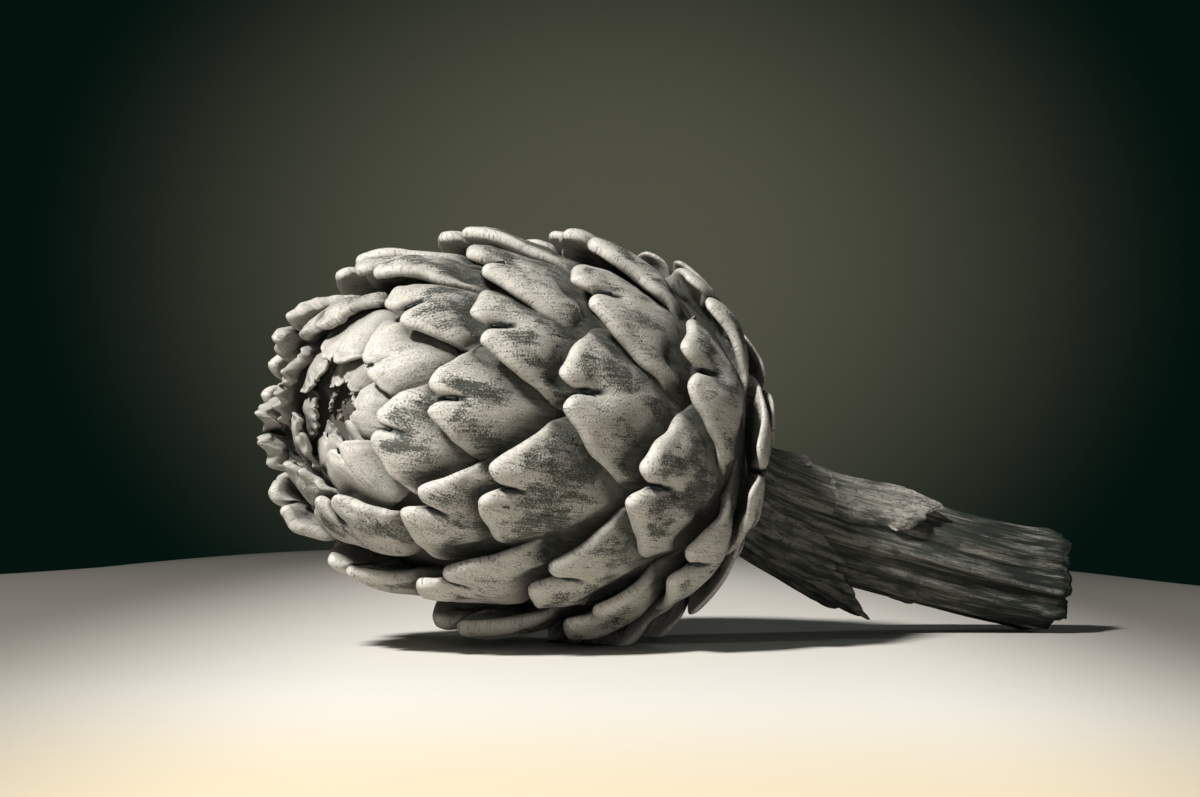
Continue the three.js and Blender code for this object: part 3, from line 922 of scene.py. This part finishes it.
def make_stem_skin():
    """Dry ribbed skin with dark furrows between grey fibres and a brown-black cut end, with painted
    shade in low furrows, under the stubs and towards the cut end.
    """
    ridge = (0.21, 0.195, 0.165, 1)
    furrow = (0.035, 0.04, 0.032, 1)
    wear_and_shade = (0.4, 0.365, 0.32, 1)
    end_shade_colour = (0.011, 0.015, 0.011, 1)
    cut = (0.014, 0.018, 0.013, 1)
    material = plain_material("stem skin", ridge[:3], 0.75)
    tree = material.node_tree
    shader = tree.nodes["Principled BSDF"]
    place = add_node(tree, "ShaderNodeAttribute", attribute_name="stem_place").outputs["Vector"]
    shader.inputs["Specular IOR Level"].default_value = 0.15
    lift = add_node(tree, "ShaderNodeAttribute", attribute_name="stem_lift").outputs["Fac"]
    distance = add_node(tree, "ShaderNodeSeparateXYZ", {0: place}).outputs[0]
    streaks = grain(tree, place, 22.0, 1.6)
    hairlines = grain(tree, place, 9.0, 0.5, 2.0)
    clouds = grain(tree, place, 14.0, 7.0)
    pits = fade(tree, speckle(tree, place, 0.8), 0.54, 0.68, 0.0, 0.7)
    colour = blend_colour(tree, fade(tree, streaks, 0.36, 0.6), furrow, ridge)
    # Raised ribs and stub ends are paler with wear; low furrows, stub undersides and lower stubs are
    # darkened as painted shade.
    colour = blend_colour(tree, fade(tree, lift, 0.2, 1.4, 0.0, 0.75), colour, wear_and_shade)
    colour = blend_colour(tree, fade(tree, lift, -0.1, -0.8, 0.0, 0.8), colour, furrow)
    colour = blend_colour(tree, fade(tree, hairlines, 0.5, 0.34, 0.0, 0.7), colour, furrow)
    colour = blend_colour(tree, fade(tree, clouds, 0.48, 0.64, 0.0, 0.75), colour, furrow)
    colour = blend_colour(tree, pits, colour, furrow)
    # Painted shade: the colour darkens over the stem's last part towards its cut end.
    end_shade = fade(tree, distance, 52.0, stem_length - 16)
    end_shade = calculate(tree, "MULTIPLY", end_shade, fade(tree, streaks, 0.64, 0.44, 0.35, 0.97))
    colour = blend_colour(tree, end_shade, colour, end_shade_colour)
    colour = blend_colour(tree, fade(tree, distance, stem_length - 6, stem_length - 1), colour, cut)
    tree.links.new(colour, shader.inputs["Base Color"])
    tree.links.new(fade(tree, streaks, 0.3, 0.7, 0.85, 0.62), shader.inputs["Roughness"])
    height = calculate(tree, "MULTIPLY_ADD", streaks, 1.4, hairlines)
    height = calculate(tree, "MULTIPLY_ADD", pits, -0.4, height)
    bump = add_node(tree, "ShaderNodeBump", {"Strength": 0.7, "Distance": 0.0006, "Height": height})
    tree.links.new(bump.outputs["Normal"], shader.inputs["Normal"])
    return material


stem_skin_finish = make_stem_skin()
lift = np.zeros(len(stem_points))
lift[: len(distance)] = stem_relief(distance, angle)
values = {"stem_place": np.concatenate(stem_place), "stem_lift": lift}
stem_body = mesh_piece("stem_body", stem_points, stem_faces, values, stem_skin_finish)
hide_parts("stem")


# Leaf stubs: what is left where the lower leaves were broken off the stem, grown from its skin.
# They are thin, tough tongues that have dried, lifted and curled at their torn ends.
stub_edge = 2.4
stub_rows = 60
stub_columns = 48
# The seventh measure pales a stub's face towards its torn end above nought and paints shade on it below
# nought.
stub_measures = ("from", "to", "angle", "half_width", "taper", "lift", "wear_and_shade", "hook")
leaf_stubs = [
    dict(zip(stub_measures, row))
    for row in (
        (36, 64, 0.75, 9, 0.3, 3.2, 1.0, 0),
        (4, 40, 2.35, 9, 0.5, 4.5, -0.6, 0.5),
        (14, 51, 2.85, 8, 0.4, 7, -0.6, -0.3),
        (12, 33, -0.15, 8, 0.35, 1.6, 0.5, 0),
        (52, 82, -2.1, 9, 0.35, 2.8, 0.2, 0),
    )
]


def grow_stub(stub, seed):
    """A tongue along the stem with a torn end: a face and an underside joined round their edge."""
    own = np.random.default_rng(stem_seed + seed)
    wave = own.uniform(0, 6.28, 6)
    t, u = np.meshgrid(np.linspace(0, 1, stub_rows), np.linspace(-1, 1, stub_columns), indexing="ij")
    tear = 0.06 * np.sin(4 * u + wave[0]) + 0.03 * np.sin(9 * u + wave[1]) + 0.012 * np.sin(23 * u)
    tear = tear - 0.14 * np.abs(u) ** 3 + 0.1 * np.exp(-(((u - stub["hook"]) / 0.3) ** 2))
    share = t * (1 + tear * t**3)
    run = stub["from"] + (stub["to"] - stub["from"]) * share
    half = stub["half_width"] * (1 - stub["taper"] * share**2)
    half = half * (1 + 0.05 * np.sin(9 * t + wave[2]) + 0.03 * np.sin(23 * t + wave[3]))
    face = 0.4 + stub["lift"] * share**1.6 + 0.8 * (1 - u**2)
    face = face + 0.35 * np.sin(7 * u + 3 * t + wave[4]) * t + 0.25 * np.sin(17 * u + wave[5])
    rim = np.minimum(np.minimum(1 - np.abs(u), 1 - t) * 8, 1)
    thin = stub_edge / 2 * (1 - np.sqrt(np.maximum(1 - (1 - rim) ** 2, 0)))
    layers = []
    for height in (face - thin, np.minimum(face - stub_edge + thin, face - 0.1)):
        skin = stem_skin(run, np.full(run.shape, stub["angle"]))
        turn = stub["angle"] + half * u / skin
        radius = skin + height
        points = on_stem(run.ravel(), turn.ravel(), radius.ravel())
        place = np.stack([run, radius * np.cos(turn), radius * np.sin(turn)], -1).reshape(-1, 3)
        # Pale rubbed rims and ends; below nought, and on the underside, the stub is darkened as painted
        # shade.
        wear_and_shade = stub["wear_and_shade"] * t + 1.2 * np.exp(-rim * 2.5) * smooth_step(t, 0.2, 0.9)
        lift = wear_and_shade.ravel() if not layers else np.full(run.size, -0.8)
        layers.append((points, place, lift))
    points = np.concatenate([layer[0] for layer in layers])
    points[:, 2] = np.maximum(points[:, 2], 0)
    place = np.concatenate([layer[1] for layer in layers])
    lift = np.concatenate([layer[2] for layer in layers])
    under = stub_rows * stub_columns
    faces = []
    for i in range(stub_rows - 1):
        for j in range(stub_columns - 1):
            a = i * stub_columns + j
            faces.append((a, a + 1, a + stub_columns + 1, a + stub_columns))
            b = a + under
            faces.append((b, b + stub_columns, b + stub_columns + 1, b + 1))
    border = [i * stub_columns for i in range(stub_rows)]
    border += [(stub_rows - 1) * stub_columns + j for j in range(1, stub_columns)]
    border += [i * stub_columns + stub_columns - 1 for i in range(stub_rows - 2, -1, -1)]
    border += [j for j in range(stub_columns - 2, 0, -1)]
    for k, here in enumerate(border):
        there = border[(k + 1) % len(border)]
        faces.append((here, there, there + under, here + under))
    return points, faces, place, lift


grown = [grow_stub(stub, seed) for seed, stub in enumerate(leaf_stubs)]
values = {
    "stem_place": np.concatenate([part[2] for part in grown]),
    "stem_lift": np.concatenate([part[3] for part in grown]),
}
stubs = mesh_piece("leaf_stubs", *join_grown(grown), values, stem_skin_finish)
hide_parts("stem")


# Light and surface: a pale table in a dim olive room, a strong lamp high on the left in front,
# a weak one behind on the right and a broad faint one low in front.
# None of it belongs to the artichoke.
flat_reach = 0.15
dome_radius = 23.7
side_fall = 0.38
side_start = 0.11
side_limit = 0.3
table_drop = 0.0002
table_reach = 1.15
table_steps = 160


def make_table():
    """A broad pale surface, flat under the artichoke and gently domed away from it."""
    steps = np.linspace(-table_reach, table_reach, table_steps)
    x, y = np.meshgrid(steps, steps, indexing="ij")
    away = np.maximum(0, np.hypot(x, y) - flat_reach)
    sideways = np.clip(np.abs(x) - side_start, 0, side_limit) ** 2 * smooth_step(y, 0.1, 0.7)
    fall = away**2 / (2 * dome_radius) + side_fall * sideways
    points = np.stack([x, y, -table_drop - fall], -1).reshape(-1, 3)
    faces = []
    for i in range(table_steps - 1):
        for j in range(table_steps - 1):
            a = i * table_steps + j
            faces.append((a, a + table_steps, a + table_steps + 1, a + 1))
    mesh = bpy.data.meshes.new("table")
    mesh.from_pydata(points.tolist(), [], faces)
    mesh.shade_smooth()
    table = bpy.data.objects.new("table", mesh)
    bpy.context.collection.objects.link(table)
    return table


def make_table_skin():
    """Matt off-white, warmer towards the front; a pool of light is painted on it, greyer away from the
    artichoke, with painted shade darkening the back edge.
    """
    near = (0.55, 0.52, 0.465, 1)
    warm = (0.48, 0.4, 0.265, 1)
    painted_falloff_grey = (0.135, 0.123, 0.103, 1)
    edge = (0.02, 0.024, 0.018, 1)
    material = plain_material("pale table", near[:3], 0.8)
    tree = material.node_tree
    place = add_node(tree, "ShaderNodeNewGeometry").outputs["Position"]
    closer = add_node(tree, "ShaderNodeSeparateXYZ", {0: place}).outputs[1]
    shift = {0: place, 1: (0.015, 0.14, 0)}
    place = add_node(tree, "ShaderNodeVectorMath", shift, operation="ADD").outputs[0]
    shrink = {0: place, 1: (1.65, 0.2, 1.0)}
    place = add_node(tree, "ShaderNodeVectorMath", shrink, operation="MULTIPLY").outputs[0]
    away = add_node(tree, "ShaderNodeVectorMath", {0: place}, operation="LENGTH").outputs["Value"]
    colour = blend_colour(tree, fade(tree, closer, -0.14, -0.32, 0.0, 0.9), near, warm)
    # Painted light: the colour greys away from the artichoke like the rim of a lamp's pool, and darkens
    # to painted shade at the back.
    colour = blend_colour(tree, fade(tree, away, 0.08, 0.27), colour, painted_falloff_grey)
    colour = blend_colour(tree, fade(tree, closer, 0.62, 1.13), colour, edge)
    tree.links.new(colour, tree.nodes["Principled BSDF"].inputs["Base Color"])
    return material


table = make_table()
table.data.materials.append(make_table_skin())


lamp_aim = Vector((-0.02, -0.02, 0.04))


def soft_lamp(name, place, size, energy):
    lamp = bpy.data.objects.new(name, bpy.data.lights.new(name, "AREA"))
    lamp.data.shape = "DISK"
    lamp.data.size = size
    lamp.data.energy = energy
    lamp.visible_camera = False
    lamp.location = place
    aim = lamp_aim - Vector(place)
    lamp.rotation_euler = aim.to_track_quat("-Z", "Y").to_euler()
    bpy.context.collection.objects.link(lamp)


soft_lamp("key lamp", (-0.62, -0.9, 0.96), 0.16, 44)
soft_lamp("back lamp", (0.75, 0.6, 0.85), 0.2, 1)
soft_lamp("low front lamp", (0.1, -0.95, 0.16), 0.45, 1.1)


def light_room():
    """A dim olive glow on the wall behind, sinking to green-black round it."""
    glow = (0.078, 0.08, 0.055, 1)
    gloom = (0.0012, 0.0065, 0.0045, 1)
    around = (0.03, 0.034, 0.026, 1)
    ambient = (0.012, 0.02, 0.016, 1)
    glow_aim = (0.005, 1.0, 0.06)
    world = bpy.data.worlds.new("room")
    world.use_nodes = True
    tree = world.node_tree
    heading = add_node(tree, "ShaderNodeTexCoord").outputs["Generated"]
    off = {0: heading, 1: tuple(Vector(glow_aim).normalized())}
    off = add_node(tree, "ShaderNodeVectorMath", off, operation="SUBTRACT").outputs[0]
    flatten = {0: off, 1: (1.0, 1.0, 1.25)}
    off = add_node(tree, "ShaderNodeVectorMath", flatten, operation="MULTIPLY").outputs[0]
    off = add_node(tree, "ShaderNodeVectorMath", {0: off}, operation="LENGTH").outputs["Value"]
    seen = blend_colour(tree, fade(tree, off, 0.03, 0.2), glow, gloom)
    seen = blend_colour(tree, fade(tree, off, 0.3, 0.8), seen, around)
    is_seen = add_node(tree, "ShaderNodeLightPath").outputs["Is Camera Ray"]
    colour = blend_colour(tree, is_seen, ambient, seen)
    tree.links.new(colour, tree.nodes["Background"].inputs["Color"])
    return world


bpy.context.scene.world = light_room()
bpy.context.scene.view_settings.view_transform = "Standard"
